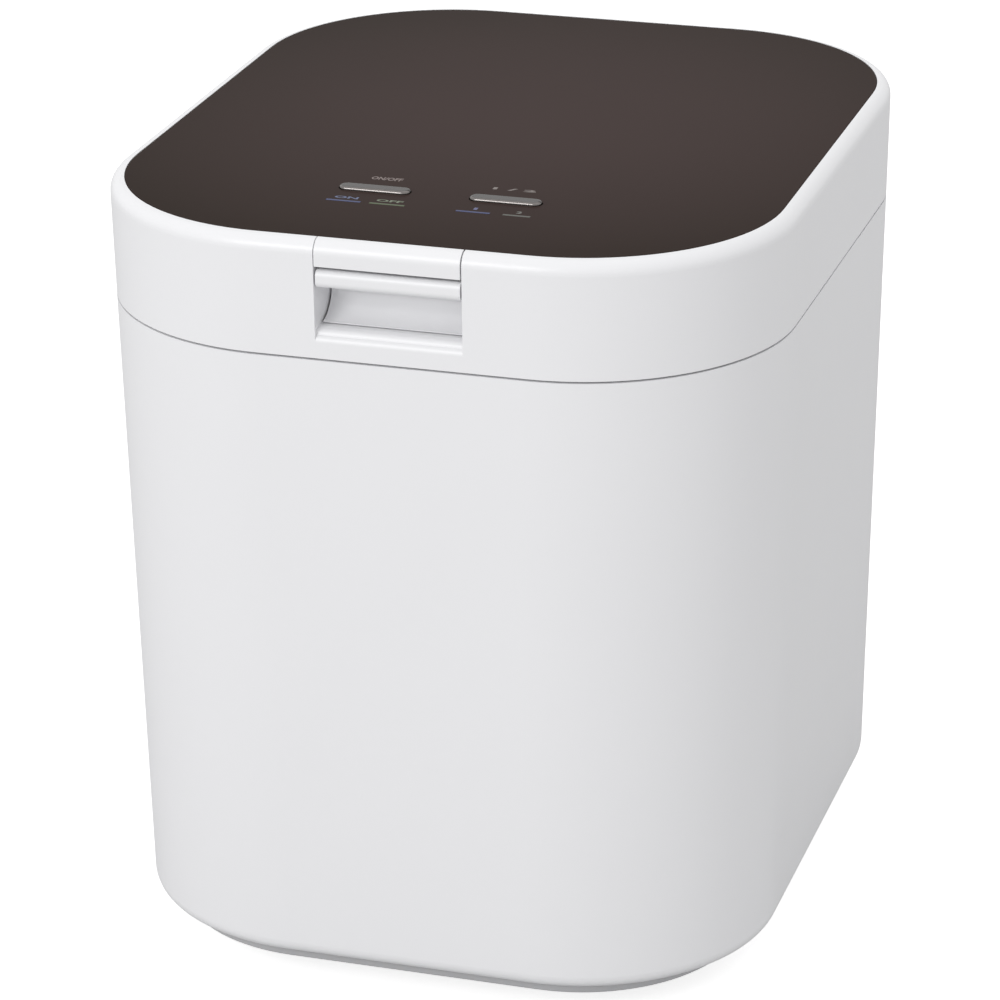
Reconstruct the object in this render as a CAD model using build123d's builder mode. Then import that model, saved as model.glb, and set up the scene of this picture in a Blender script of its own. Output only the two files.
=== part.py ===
"""Counter-top electric food waste composter, in millimetres.

+Z is up, the front faces -Y and +X is to the right of someone facing the front. The origin is on the
surface that the rubber feet stand on, under the middle of the body.
"""
from build123d import *
from math import cos, radians, sin
import os

os.makedirs("parts", exist_ok=True)

# ---------------------------------------------------------------- driving dimensions
WIDTH = 230.0            # the lid's top edge, its widest place
DEPTH = 270.0
HEIGHT = 270.0           # to the top panel
TOP_CORNER = 69.9        # corner radius of the lid's top edge, in plan
FOOT_X = 110.4           # half width of the body where its rounded foot starts
FOOT_Y = 131.4
FOOT_CORNER = 67.8
FOOT_CURVE = 5.2         # radius of the rounded foot
FEET_HEIGHT = 8.8
PLINTH = (99.4, 123.4, 56.0)      # half width, half depth, corner radius of the set-back base
PLINTH_TOP = 11.3        # top of the base plate's floor
SHELL_BOTTOM = 13.8
PARTING = 230.4          # middle of the seam under the lid
SEAM = 0.7               # height of that seam
WALL = 2.5               # moulded wall of body and lid
LID_EDGE = 4.6           # rounding of the lid's top edge
FIT = 0.35               # gap between neighbouring mouldings
PANEL = 2.0              # thickness of the dark top panel

HINGE_Y = 130.5
HINGE_Z = PARTING
BARREL = 4.5             # hinge barrel radius
HINGE_PIN = 2.0
HINGE_BORE = 2.05
KNUCKLE_IN = 30.0        # the body's knuckles run from here
KNUCKLE_OUT = 48.0       # to here, on both sides
HINGE_SCREW_X = 39.0
HINGE_SCREW_Z = 214.0

CHAMBER_Y = -18.0        # middle of chamber, basket and lid fan
CHAMBER = (88.0, 86.0, 48.0)      # half width, half depth, corner radius of the tub
CHAMBER_BOTTOM = 78.0
BASKET = (83.5, 81.5, 44.0)
BASKET_BOTTOM = 84.0
BASKET_TOP = 214.0
BASKET_DRAFT = 4.0       # how much narrower the basket is at its floor
SHEET = 1.2              # formed sheet metal

DECK_TOP = 229.5
DECK = 3.0
LINER_BOTTOM = 231.2
LINER = 2.5

LATCH_HALF = 24.2        # middle of the seam at each side of the latch
LATCH_SEAM = 0.4
LATCH_Y = -122.0         # lever pivot
LATCH_Z = 262.0

BUTTON_X = (-21.7, 22.5)
BUTTON_Y = -81.2
BUTTON_SIZE = (24.0, 5.2)
BUTTON_TRAVEL = 0.8
WINDOW_Y = -94.5

FAN_MOUTH = 74.5         # radius of the opening in the liner
EXHAUST_Z = 168.0        # height of the exhaust fan's axis
BAY_X = 42.0             # half width of the filter bay
BAY_LOW = 96.0
BAY_HIGH = 204.0

lid_bottom = PARTING + SEAM / 2
shell_top = PARTING - SEAM / 2
lid_widest = HEIGHT - LID_EDGE
top_wall = HEIGHT - PANEL            # the lid shell's own top face, under the panel
ceiling = top_wall - WALL


# ---------------------------------------------------------------- shared shapes
def outline_at(height, inset=0.0):
    """Half width, half depth and corner radius of the outside at a height, less an inset."""
    share = (height - SHELL_BOTTOM - FOOT_CURVE) / (lid_widest - SHELL_BOTTOM - FOOT_CURVE)
    half_x = FOOT_X + share * (WIDTH / 2 - FOOT_X)
    half_y = FOOT_Y + share * (DEPTH / 2 - FOOT_Y)
    corner = FOOT_CORNER + share * (TOP_CORNER - FOOT_CORNER)
    return half_x - inset, half_y - inset, corner - inset


def section(half_x, half_y, corner, height, middle_y=0.0):
    """A rounded rectangle lying at a height."""
    with BuildSketch(Plane.XY.offset(height)) as outline:
        with Locations((0, middle_y)):
            RectangleRounded(2 * half_x, 2 * half_y, corner)
    return outline.sketch


def tapered(low, high, low_inset=0.0, high_inset=None, mode=Mode.ADD):
    """A block that follows the tapered outside between two heights."""
    high_inset = low_inset if high_inset is None else high_inset
    lower = section(*outline_at(min(low, lid_widest), low_inset), low)
    upper = section(*outline_at(min(high, lid_widest), high_inset), high)
    loft(sections=[lower, upper], ruled=True, mode=mode)


def slab(half_x, half_y, corner, low, high, middle_y=0.0, mode=Mode.ADD):
    """A rounded rectangular block between two heights."""
    extrude(section(half_x, half_y, corner, low, middle_y), amount=high - low, mode=mode)


def block(x, y, z, mode=Mode.ADD):
    """A plain block, given by its low and high ends along each axis."""
    middle = tuple((ends[0] + ends[1]) / 2 for ends in (x, y, z))
    with Locations(middle):
        Box(x[1] - x[0], y[1] - y[0], z[1] - z[0], mode=mode)


def post(x, y, low, high, radius, mode=Mode.ADD):
    """An upright cylinder between two heights."""
    with Locations((x, y, (low + high) / 2)):
        Cylinder(radius, high - low, mode=mode)


def bar_x(y, z, left, right, radius, mode=Mode.ADD):
    """A cylinder that lies along X."""
    with Locations(((left + right) / 2, y, z)):
        Cylinder(radius, right - left, rotation=(0, 90, 0), mode=mode)


def bar_y(x, z, front, back, radius, mode=Mode.ADD):
    """A cylinder that lies along Y."""
    with Locations((x, (front + back) / 2, z)):
        Cylinder(radius, back - front, rotation=(90, 0, 0), mode=mode)


def side_profile(points, left, right, mode=Mode.ADD):
    """A profile of (y, z) points, extruded along X."""
    with BuildSketch(Plane.YZ.offset(left)) as outline:
        with BuildLine():
            Polyline(points, close=True)
        make_face()
    extrude(outline.sketch, amount=right - left, mode=mode)


def screw_up(x, y, head_bottom, length, shank=1.5, head=2.8, head_height=1.8):
    """A screw driven upwards, its head below."""
    post(x, y, head_bottom, head_bottom + head_height, head)
    post(x, y, head_bottom + head_height, head_bottom + head_height + length, shank)


def screw_down(x, y, head_top, length, shank=1.5, head=2.8, head_height=1.2):
    """A screw driven downwards, its head on top."""
    post(x, y, head_top - head_height, head_top, head)
    post(x, y, head_top - head_height - length, head_top - head_height, shank)


def finish(part, name):
    """Label a finished piece and write it."""
    part.part.label = name
    export_step(part.part, f"parts/{name}.step")


# ---------------------------------------------------------------- body shell
DECK_SCREWS = [(-107, -40), (107, -40), (-107, 50), (107, 50),
               (-30, -127.6), (30, -127.6), (-58, 125.7), (58, 125.7)]
BASE_SCREWS = [(-92, -45), (92, -45), (-92, 45), (92, 45), (0, -113.5), (0, 113.5)]
LIP = (86.0, 107.5, 44.0)          # opening in the shell's bottom
LIP_TOP = 16.3
GLAND_X, GLAND_Z = -28.0, 34.0
GLAND_HOLE = 6.2
NOTCH_HALF, NOTCH_TOP = 13.0, 47.0     # notch in the back wall that the cord plate closes
VEE_GAP = 0.4


def shell_wall():
    """The plain body wall, with its rounded foot and the lip that it stands on."""
    with BuildPart() as wall:
        tapered(SHELL_BOTTOM, shell_top)
        fillet(wall.edges().group_by(Axis.Z)[0], FOOT_CURVE)
        tapered(LIP_TOP, FOOT_CURVE + SHELL_BOTTOM, FOOT_CURVE, WALL, mode=Mode.SUBTRACT)
        tapered(FOOT_CURVE + SHELL_BOTTOM, shell_top, WALL, mode=Mode.SUBTRACT)
        slab(*LIP, 0, 20, mode=Mode.SUBTRACT)
    return wall.part


with BuildPart() as body_shell:
    add(shell_wall())
    block((GLAND_X - NOTCH_HALF, GLAND_X + NOTCH_HALF), (105, 140), (0, NOTCH_TOP), mode=Mode.SUBTRACT)
    for x, y in DECK_SCREWS:
        post(x, y, 196, DECK_TOP - DECK, 4.5)
        post(x, y, 205, DECK_TOP, 1.3, mode=Mode.SUBTRACT)
    for x, y in BASE_SCREWS:
        post(x, y, LIP_TOP, 24, 4.5)
        post(x, y, 0, 22, 1.3, mode=Mode.SUBTRACT)
    block((-BAY_X - FIT, BAY_X + FIT), (120, 140), (BAY_LOW - FIT, BAY_HIGH + FIT), mode=Mode.SUBTRACT)
    bar_x(HINGE_Y, HINGE_Z, -KNUCKLE_OUT - 0.5, KNUCKLE_OUT + 0.5, BARREL + 0.5, mode=Mode.SUBTRACT)
    for x in (-HINGE_SCREW_X, HINGE_SCREW_X):
        bar_y(x, HINGE_SCREW_Z, 125, 136, 1.35, mode=Mode.SUBTRACT)
    # The rear edge is cut back under the hinge axis, so that the open lid has room behind the body.
    side_profile([(HINGE_Y, HINGE_Z - VEE_GAP), (HINGE_Y + 10, HINGE_Z - VEE_GAP - 10),
                  (HINGE_Y + 10, HINGE_Z + 5), (HINGE_Y, HINGE_Z + 5)], -100, 100, mode=Mode.SUBTRACT)
finish(body_shell, "body_shell")

# The cord plate fills the notch flush with the wall. Its flange lies on the wall's inner face and its
# lower edge stands on the base plate.
FLANGE_BACK = 128.85
FLANGE_FRONT = 126.8
with BuildPart() as cord_plate:
    add(shell_wall())
    with Locations((GLAND_X, 122.5, NOTCH_TOP / 2)):
        Box(2 * NOTCH_HALF - 0.5, 35, NOTCH_TOP - 0.5, mode=Mode.INTERSECT)
    block((GLAND_X - NOTCH_HALF - 3, GLAND_X + NOTCH_HALF + 3), (FLANGE_FRONT, FLANGE_BACK),
          (20, NOTCH_TOP + 3))
    block((GLAND_X - NOTCH_HALF + 0.25, GLAND_X + NOTCH_HALF - 0.25), (FLANGE_FRONT, 130.5),
          (17.2, NOTCH_TOP - 0.25))
    bar_y(GLAND_X, GLAND_Z, 110, 140, GLAND_HOLE, mode=Mode.SUBTRACT)
finish(cord_plate, "cord_plate")

# ---------------------------------------------------------------- base plate, feet and their screws
FEET = [(-70, -88), (70, -88), (-70, 88), (70, 88)]
STANDOFFS = [(-66, -8), (66, -8), (-66, 72), (66, 72)]
STANDOFF_TOP = 22.0
BOARD_TOP = STANDOFF_TOP + 1.6

with BuildPart() as base_plate:
    slab(*PLINTH, FEET_HEIGHT, SHELL_BOTTOM)
    fillet(base_plate.edges().group_by(Axis.Z)[0], 1.0)
    slab(*[size - WALL for size in PLINTH], PLINTH_TOP, SHELL_BOTTOM, mode=Mode.SUBTRACT)
    # A low wall inside the shell's lip keeps the body and its base in line.
    slab(*[size - 0.5 for size in LIP], PLINTH_TOP, LIP_TOP + 0.5)
    slab(*[size - 2.5 for size in LIP], PLINTH_TOP, LIP_TOP + 0.5, mode=Mode.SUBTRACT)
    with Locations((0, -50, FEET_HEIGHT), (0, 30, FEET_HEIGHT)):
        with GridLocations(7, 0, 9, 1):
            Box(3, 44, 12, mode=Mode.SUBTRACT)
    for x, y in STANDOFFS:
        post(x, y, PLINTH_TOP, STANDOFF_TOP, 3.5)
        post(x, y, PLINTH_TOP, STANDOFF_TOP, 1.2, mode=Mode.SUBTRACT)
    for x, y in BASE_SCREWS:
        post(x, y, PLINTH_TOP, SHELL_BOTTOM, 4.5)
        post(x, y, 0, SHELL_BOTTOM, 1.9, mode=Mode.SUBTRACT)
        post(x, y, 0, FEET_HEIGHT + 1.3, 3.2, mode=Mode.SUBTRACT)
    for x, y in FEET:
        post(x, y, 0, 12, 1.6, mode=Mode.SUBTRACT)
finish(base_plate, "base_plate")

with BuildPart() as rubber_feet:
    for x, y in FEET:
        post(x, y, 0, FEET_HEIGHT, 9)
    fillet(rubber_feet.edges().group_by(Axis.Z)[0], 1.5)
    for x, y in FEET:
        post(x, y, FEET_HEIGHT, PLINTH_TOP, 1.6)
        post(x, y, PLINTH_TOP, PLINTH_TOP + 1.2, 2.6)
finish(rubber_feet, "rubber_feet")

with BuildPart() as base_screws:
    for x, y in BASE_SCREWS:
        screw_up(x, y, FEET_HEIGHT + 0.2, 11, shank=1.3, head=2.9, head_height=1.1)
    for x, y in STANDOFFS:
        screw_down(x, y, BOARD_TOP + 1.4, 6, shank=1.2, head=2.6, head_height=1.4)
finish(base_screws, "base_screws")

# ---------------------------------------------------------------- top deck
STRIKE_SCREWS = [(-15.5, -113.6), (15.5, -113.6)]
LOOM_X, LOOM_Y = 66.0, 117.0
FLANGE = 5.0
FLANGE_THICK = 1.0

with BuildPart() as top_deck:
    slab(*outline_at(DECK_TOP - DECK, WALL + FIT), DECK_TOP - DECK, DECK_TOP)
    slab(CHAMBER[0] + 0.4, CHAMBER[1] + 0.4, CHAMBER[2] + 0.4, 200, 240, CHAMBER_Y, mode=Mode.SUBTRACT)
    # Notch at the front for the latch's hook.
    block((-11, 11), (-140, -114.5), (220, 235), mode=Mode.SUBTRACT)
    bar_x(HINGE_Y, HINGE_Z, -KNUCKLE_OUT - 0.5, KNUCKLE_OUT + 0.5, BARREL + 0.5, mode=Mode.SUBTRACT)
    block((-KNUCKLE_OUT - 0.5, KNUCKLE_OUT + 0.5), (128, 140), (220, 235), mode=Mode.SUBTRACT)
    post(LOOM_X, LOOM_Y, 220, 235, 4.5, mode=Mode.SUBTRACT)
    for x, y in DECK_SCREWS:
        post(x, y, 220, 235, 1.9, mode=Mode.SUBTRACT)
    for x, y in STRIKE_SCREWS:
        post(x, y, 227, 235, 1.2, mode=Mode.SUBTRACT)
finish(top_deck, "top_deck")

STRIKE_EDGE = -118.9
STRIKE = 0.8
with BuildPart() as deck_screws:
    for x, y in DECK_SCREWS:
        screw_down(x, y, DECK_TOP + 1.2, 14, shank=1.3)
    for x, y in STRIKE_SCREWS:
        screw_down(x, y, DECK_TOP + STRIKE + 0.5, 3, shank=1.2, head=2.6, head_height=0.5)
finish(deck_screws, "deck_screws")

with BuildPart() as latch_strike:
    block((-20, 20), (STRIKE_EDGE, -109.9), (DECK_TOP, DECK_TOP + STRIKE))
    for x, y in STRIKE_SCREWS:
        post(x, y, 225, 235, 1.6, mode=Mode.SUBTRACT)
finish(latch_strike, "latch_strike")

# ---------------------------------------------------------------- drying chamber and basket
EXHAUST_HOLE = 26.0
with BuildPart() as drying_chamber:
    slab(*CHAMBER, CHAMBER_BOTTOM, DECK_TOP + FLANGE_THICK, CHAMBER_Y)
    fillet(drying_chamber.edges().group_by(Axis.Z)[0], 12)
    offset(amount=-SHEET, openings=drying_chamber.faces().sort_by(Axis.Z)[-1])
    slab(*[size + FLANGE for size in CHAMBER], DECK_TOP, DECK_TOP + FLANGE_THICK, CHAMBER_Y)
    slab(*[size - SHEET for size in CHAMBER], DECK_TOP - 1, DECK_TOP + 5, CHAMBER_Y, mode=Mode.SUBTRACT)
    # A field of round holes in the back wall lets the moist air out to the exhaust fan.
    with BuildSketch(Plane.XZ.offset(-40)) as exhaust_holes:
        with Locations((0, EXHAUST_Z)):
            with HexLocations(4.2, 7, 7):
                Circle(2.4)
            Circle(EXHAUST_HOLE, mode=Mode.INTERSECT)
    extrude(exhaust_holes.sketch, amount=-40, mode=Mode.SUBTRACT)
finish(drying_chamber, "drying_chamber")


def basket_section(height, inset=0.0):
    """The basket's outline at a height; it narrows towards its floor."""
    draft_here = BASKET_DRAFT * (BASKET_TOP - height) / (BASKET_TOP - BASKET_BOTTOM)
    return section(*[size - draft_here - inset for size in BASKET], height, CHAMBER_Y)


BAIL_Z = BASKET_TOP + 3.0
BAIL_X = BASKET[0] - 3.2
with BuildPart() as basket:
    loft(sections=[basket_section(BASKET_BOTTOM), basket_section(BASKET_TOP)], ruled=True)
    loft(sections=[basket_section(BASKET_BOTTOM + 1.5, 1.5), basket_section(BASKET_TOP, 1.5)], ruled=True,
         mode=Mode.SUBTRACT)
    extrude(basket_section(BASKET_TOP - 2, -1.5), amount=2)
    extrude(basket_section(BASKET_TOP - 2, 1.5), amount=3, mode=Mode.SUBTRACT)
    # Upright slots in the four flat sides, and slots in the floor.
    for x in range(-32, 33, 8):
        block((x - 1.5, x + 1.5), (-120, 80), (96, 196), mode=Mode.SUBTRACT)
        block((x - 1.5, x + 1.5), (CHAMBER_Y - 60, CHAMBER_Y + 60), (80, 90), mode=Mode.SUBTRACT)
    for y in range(-48, 13, 8):
        block((-100, 100), (y - 1.5, y + 1.5), (96, 196), mode=Mode.SUBTRACT)
    block((-40, 40), (CHAMBER_Y - 1.5, CHAMBER_Y + 1.5), (BASKET_BOTTOM, BASKET_BOTTOM + 1.5))
    # Four short legs stand on the chamber's floor.
    for x in (-50, 50):
        for y in (CHAMBER_Y - 50, CHAMBER_Y + 50):
            post(x, y, CHAMBER_BOTTOM + SHEET, BASKET_BOTTOM, 4)
    for side in (-1, 1):
        block(sorted((side * (BAIL_X - 3), side * (BASKET[0] - 1.0))), (CHAMBER_Y - 5, CHAMBER_Y + 5),
              (BASKET_TOP - 8, BAIL_Z + 3.5))
        bar_x(CHAMBER_Y, BAIL_Z, *sorted((side * (BAIL_X - 4), side * 90)), 1.6, mode=Mode.SUBTRACT)
finish(basket, "basket")

BAIL_WIRE = 1.5
bail_front = CHAMBER_Y - BASKET[1] + 6
with BuildPart() as basket_handle:
    with BuildLine() as bail_line:
        FilletPolyline((-BAIL_X + 6.5, CHAMBER_Y, BAIL_Z), (-BAIL_X + 6.5, bail_front, BAIL_Z),
                       (BAIL_X - 6.5, bail_front, BAIL_Z), (BAIL_X - 6.5, CHAMBER_Y, BAIL_Z), radius=38)
    with BuildSketch(Plane((-BAIL_X + 6.5, CHAMBER_Y, BAIL_Z), x_dir=(1, 0, 0), z_dir=(0, -1, 0))):
        Circle(BAIL_WIRE)
    sweep()
    for side in (-1, 1):
        bar_x(CHAMBER_Y, BAIL_Z, *sorted((side * (BAIL_X - 6.5), side * (BASKET[0] - 1.5))), BAIL_WIRE)
        with Locations((side * (BAIL_X - 6.5), CHAMBER_Y, BAIL_Z)):
            Sphere(BAIL_WIRE)
finish(basket_handle, "basket_handle")

with BuildPart() as handle_grip:
    bar_x(bail_front, BAIL_Z, -26, 26, 3.4)
    fillet(handle_grip.edges(), 1.2)
    bar_x(bail_front, BAIL_Z, -30, 30, BAIL_WIRE + 0.05, mode=Mode.SUBTRACT)
finish(handle_grip, "handle_grip")

# ---------------------------------------------------------------- hinge
with BuildPart() as hinge_bracket:
    for side in (-1, 1):
        low, high = sorted((side * KNUCKLE_IN, side * KNUCKLE_OUT))
        block((low, high), (128.4, 131.2), (207, HINGE_Z))
        bar_x(HINGE_Y, HINGE_Z, low, high, BARREL)
    block((-KNUCKLE_OUT, KNUCKLE_OUT), (128.4, 131.2), (207, 222))
    bar_x(HINGE_Y, HINGE_Z, -60, 60, HINGE_BORE, mode=Mode.SUBTRACT)
    for side in (-1, 1):
        bar_y(side * HINGE_SCREW_X, HINGE_SCREW_Z, 120, 140, 1.35, mode=Mode.SUBTRACT)
finish(hinge_bracket, "hinge_bracket")

with BuildPart() as hinge_pin:
    bar_x(HINGE_Y, HINGE_Z, -KNUCKLE_OUT - 0.2, KNUCKLE_OUT + 0.2, HINGE_PIN)
finish(hinge_pin, "hinge_pin")

with BuildPart() as hinge_screws:
    for side in (-1, 1):
        bar_y(side * HINGE_SCREW_X, HINGE_SCREW_Z, 128.4, 133.6, 1.3)
        bar_y(side * HINGE_SCREW_X, HINGE_SCREW_Z, 126.8, 128.4, 2.8)
finish(hinge_screws, "hinge_screws")

# ---------------------------------------------------------------- exhaust fan and filter bay
FAN_HALF = 30.0
FAN_FRONT, FAN_BACK = 73.0, 88.0
FAN_BORE = 28.5
BAY_FRONT, BAY_BACK = 90.0, 131.6
BAY_WALL = 2.0

with BuildPart() as exhaust_duct:
    block((-FAN_HALF, FAN_HALF), (CHAMBER_Y + CHAMBER[1], FAN_FRONT),
          (EXHAUST_Z - FAN_HALF, EXHAUST_Z + FAN_HALF))
    bar_y(0, EXHAUST_Z, 60, 80, FAN_BORE - 1, mode=Mode.SUBTRACT)
finish(exhaust_duct, "exhaust_duct")

with BuildPart() as exhaust_fan_frame:
    block((-FAN_HALF, FAN_HALF), (FAN_FRONT, FAN_BACK), (EXHAUST_Z - FAN_HALF, EXHAUST_Z + FAN_HALF))
    fillet(exhaust_fan_frame.edges().filter_by(Axis.Y), 4)
    bar_y(0, EXHAUST_Z, 60, 100, FAN_BORE, mode=Mode.SUBTRACT)
    bar_y(0, EXHAUST_Z, FAN_BACK - 2.0, FAN_BACK, 13)
    for turn in range(4):
        with Locations(Pos(0, FAN_BACK - 1.0, EXHAUST_Z) * Rot(0, 45 + 90 * turn, 0)):
            with Locations((21, 0, 0)):
                Box(18, 2.0, 3.0)
    bar_y(0, EXHAUST_Z, FAN_FRONT + 3, FAN_BACK, 1.5)
    for x in (-25, 25):
        for z in (-25, 25):
            bar_y(x, EXHAUST_Z + z, 60, 100, 2.1, mode=Mode.SUBTRACT)
finish(exhaust_fan_frame, "exhaust_fan_frame")

with BuildPart() as exhaust_fan_rotor:
    bar_y(0, EXHAUST_Z, FAN_FRONT + 1, FAN_BACK - 2.6, 13)
    for blade in range(7):
        with Locations(Pos(0, (FAN_FRONT + FAN_BACK) / 2 - 1.2, EXHAUST_Z) * Rot(0, 360 / 7 * blade, 0)):
            with Locations(Pos(19.8, 0, 0) * Rot(38, 0, 0)):
                Box(15.6, 1.2, 12)
    bar_y(0, EXHAUST_Z, 60, 100, 1.55, mode=Mode.SUBTRACT)
    bar_y(0, EXHAUST_Z, 60, FAN_FRONT + 2.0, 8, mode=Mode.SUBTRACT)
finish(exhaust_fan_rotor, "exhaust_fan_rotor")

with BuildPart() as filter_bay:
    block((-BAY_X, BAY_X), (BAY_FRONT, BAY_BACK), (BAY_LOW, BAY_HIGH))
    for side in (-1, 1):
        block(sorted((side * 1.0, side * (BAY_X - BAY_WALL))), (BAY_FRONT + BAY_WALL, 140),
              (BAY_LOW + BAY_WALL, BAY_HIGH - BAY_WALL), mode=Mode.SUBTRACT)
    for side in (-1, 1):
        with BuildSketch(Plane.XZ.offset(-80)) as mouth:
            with Locations((0, EXHAUST_Z)):
                Circle(FAN_BORE - 1)
            with Locations((-side * 30, EXHAUST_Z)):
                Rectangle(64, 64, mode=Mode.SUBTRACT)
        extrude(mouth.sketch, amount=-15, mode=Mode.SUBTRACT)
finish(filter_bay, "filter_bay")

CASE_HALF = (BAY_X - BAY_WALL - 1.0 - 0.8) / 2       # half width of one cassette
CASE_LOW, CASE_HIGH = BAY_LOW + BAY_WALL + 0.4, BAY_HIGH - BAY_WALL - 0.4
CASE_FRONT, CASE_BACK = 94.0, 131.4
for side, name in ((-1, "left"), (1, "right")):
    middle_x = side * (1.0 + 0.4 + CASE_HALF)
    left, right = middle_x - CASE_HALF, middle_x + CASE_HALF
    with BuildPart() as cassette:
        block((left, right), (CASE_FRONT, CASE_BACK), (CASE_LOW, CASE_HIGH))
        block((left + 1.5, right - 1.5), (CASE_FRONT + 1.5, CASE_BACK - 5.0),
              (CASE_LOW + 1.5, CASE_HIGH - 1.5), mode=Mode.SUBTRACT)
        # Air slots in the front wall and in the outer cap.
        for row in range(17):
            z = CASE_LOW + 11 + row * 5.0
            block((left + 5, right - 5), (CASE_FRONT - 1, CASE_FRONT + 2), (z, z + 2.4), mode=Mode.SUBTRACT)
            block((left + 5, right - 5), (CASE_BACK - 6, CASE_BACK + 1), (z, z + 2.4), mode=Mode.SUBTRACT)
        # Finger pocket above the slots.
        block((middle_x - 9, middle_x + 9), (CASE_BACK - 3.5, CASE_BACK + 1),
              (CASE_HIGH - 8.5, CASE_HIGH - 3.5), mode=Mode.SUBTRACT)
    finish(cassette, f"filter_cassette_{name}")
    with BuildPart() as carbon:
        block((left + 1.9, right - 1.9), (CASE_FRONT + 2.2, CASE_BACK - 6.6), (CASE_LOW + 2, CASE_HIGH - 2))
    finish(carbon, f"carbon_block_{name}")

# ---------------------------------------------------------------- power electronics in the base
with BuildPart() as power_board:
    block((-72, 72), (-14, 78), (STANDOFF_TOP, BOARD_TOP))
    for x, y in STANDOFFS:
        post(x, y, 0, 40, 1.6, mode=Mode.SUBTRACT)
finish(power_board, "power_board")

with BuildPart() as transformer:
    block((18, 54), (20, 56), (BOARD_TOP + 2, BOARD_TOP + 30))
    block((24, 48), (16, 60), (BOARD_TOP, BOARD_TOP + 24))
finish(transformer, "transformer")

# Two relays and three upright capacitors, soldered to the power board.
with BuildPart() as board_components:
    for x in (-56, -34):
        block((x - 8, x + 8), (4, 23), (BOARD_TOP, BOARD_TOP + 15))
    for x, y, radius, tall in ((-8, 4, 8, 25), (-8, 22, 5, 16), (4, 22, 5, 16)):
        post(x, y, BOARD_TOP, BOARD_TOP + tall, radius)
    fillet(board_components.edges().filter_by(GeomType.CIRCLE).group_by(Axis.Z)[-1], 0.8)
finish(board_components, "board_components")

with BuildPart() as heat_sink:
    block((-62, -22), (38, 40), (BOARD_TOP, BOARD_TOP + 26))
    for fin in range(7):
        x = -61 + fin * 6.2
        block((x, x + 1.2), (40, 50), (BOARD_TOP + 2, BOARD_TOP + 26))
finish(heat_sink, "heat_sink")

with BuildPart() as terminal_block:
    block((-40, -16), (60, 72), (BOARD_TOP, BOARD_TOP + 12))
    for x in (-36, -28, -20):
        bar_y(x, BOARD_TOP + 6, 70, 74, 2.2, mode=Mode.SUBTRACT)
        post(x, 64, BOARD_TOP + 9, BOARD_TOP + 13, 2.0, mode=Mode.SUBTRACT)
finish(terminal_block, "terminal_block")

GLAND_BORE = 3.7
with BuildPart() as cord_gland:
    bar_y(GLAND_X, GLAND_Z, 120.0, 133.4, GLAND_HOLE - 0.1)
    bar_y(GLAND_X, GLAND_Z, 131.9, 134.4, 9.0)
    bar_y(GLAND_X, GLAND_Z, FLANGE_FRONT - 5.0, FLANGE_FRONT, 8.0)
    bar_y(GLAND_X, GLAND_Z, 110, 140, GLAND_BORE, mode=Mode.SUBTRACT)
finish(cord_gland, "cord_gland")

with BuildPart() as chamber_sensor:
    bar_x(CHAMBER_Y, 150, -97, -CHAMBER[0], 4.0)
    bar_x(CHAMBER_Y, 150, -100, -97, 2.5)
finish(chamber_sensor, "chamber_sensor")

with BuildPart() as lid_sensor:
    block((78, 96), (88, 96), (DECK_TOP - DECK - 6, DECK_TOP - DECK))
finish(lid_sensor, "lid_sensor")

LOOM = 2.5


def loom(points, radius):
    """A wire loom: straight runs joined by round bends, its first point carrying the section."""
    with BuildLine() as route:
        FilletPolyline(points, radius=radius)
    path = route.wire()
    with BuildSketch(Plane(path @ 0, z_dir=path % 0)) as cut:
        Circle(LOOM)
    sweep(sections=cut.sketch, path=path)
    return path.length


BODY_LOOM = [(46, 66, BOARD_TOP), (46, 66, 60), (LOOM_X, 98, 84), (LOOM_X, 104, 150), (LOOM_X, LOOM_Y, 190),
             (LOOM_X, LOOM_Y, DECK_TOP - DECK)]
with BuildPart() as wire_loom_body:
    body_loom_length = loom(BODY_LOOM, [13, 20, 40, 40])
finish(wire_loom_body, "wire_loom_body")

# ---------------------------------------------------------------- lid shell
SILL_LOW = 236.2                        # where the lid's front starts to round into the latch pocket
SHELF = 240.4                           # flat shelf behind the sill, just under the lever's edge
SHELF_BACK = -126.6
LEDGE_LOW = 234.4
CHEEK = 2.0
BOARD_LID = 257.0                       # underside of the control board
BOARD_SCREWS = [(-42, -102), (42, -102), (-42, -61), (42, -61)]
LID_SCREWS = [(-98, -30), (98, -30), (-98, 60), (98, 60), (-50, -118), (50, -118)]
sill_front = -outline_at(SILL_LOW)[1]
pocket_edge = LATCH_HALF + LATCH_SEAM / 2
window_spans = {"blue": [(-33.8, -22.2), (9.9, 21.2)], "green": [(-19.2, -7.4)], "grey": [(25.5, 34.6)]}
WINDOW_HALF = 0.6

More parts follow.
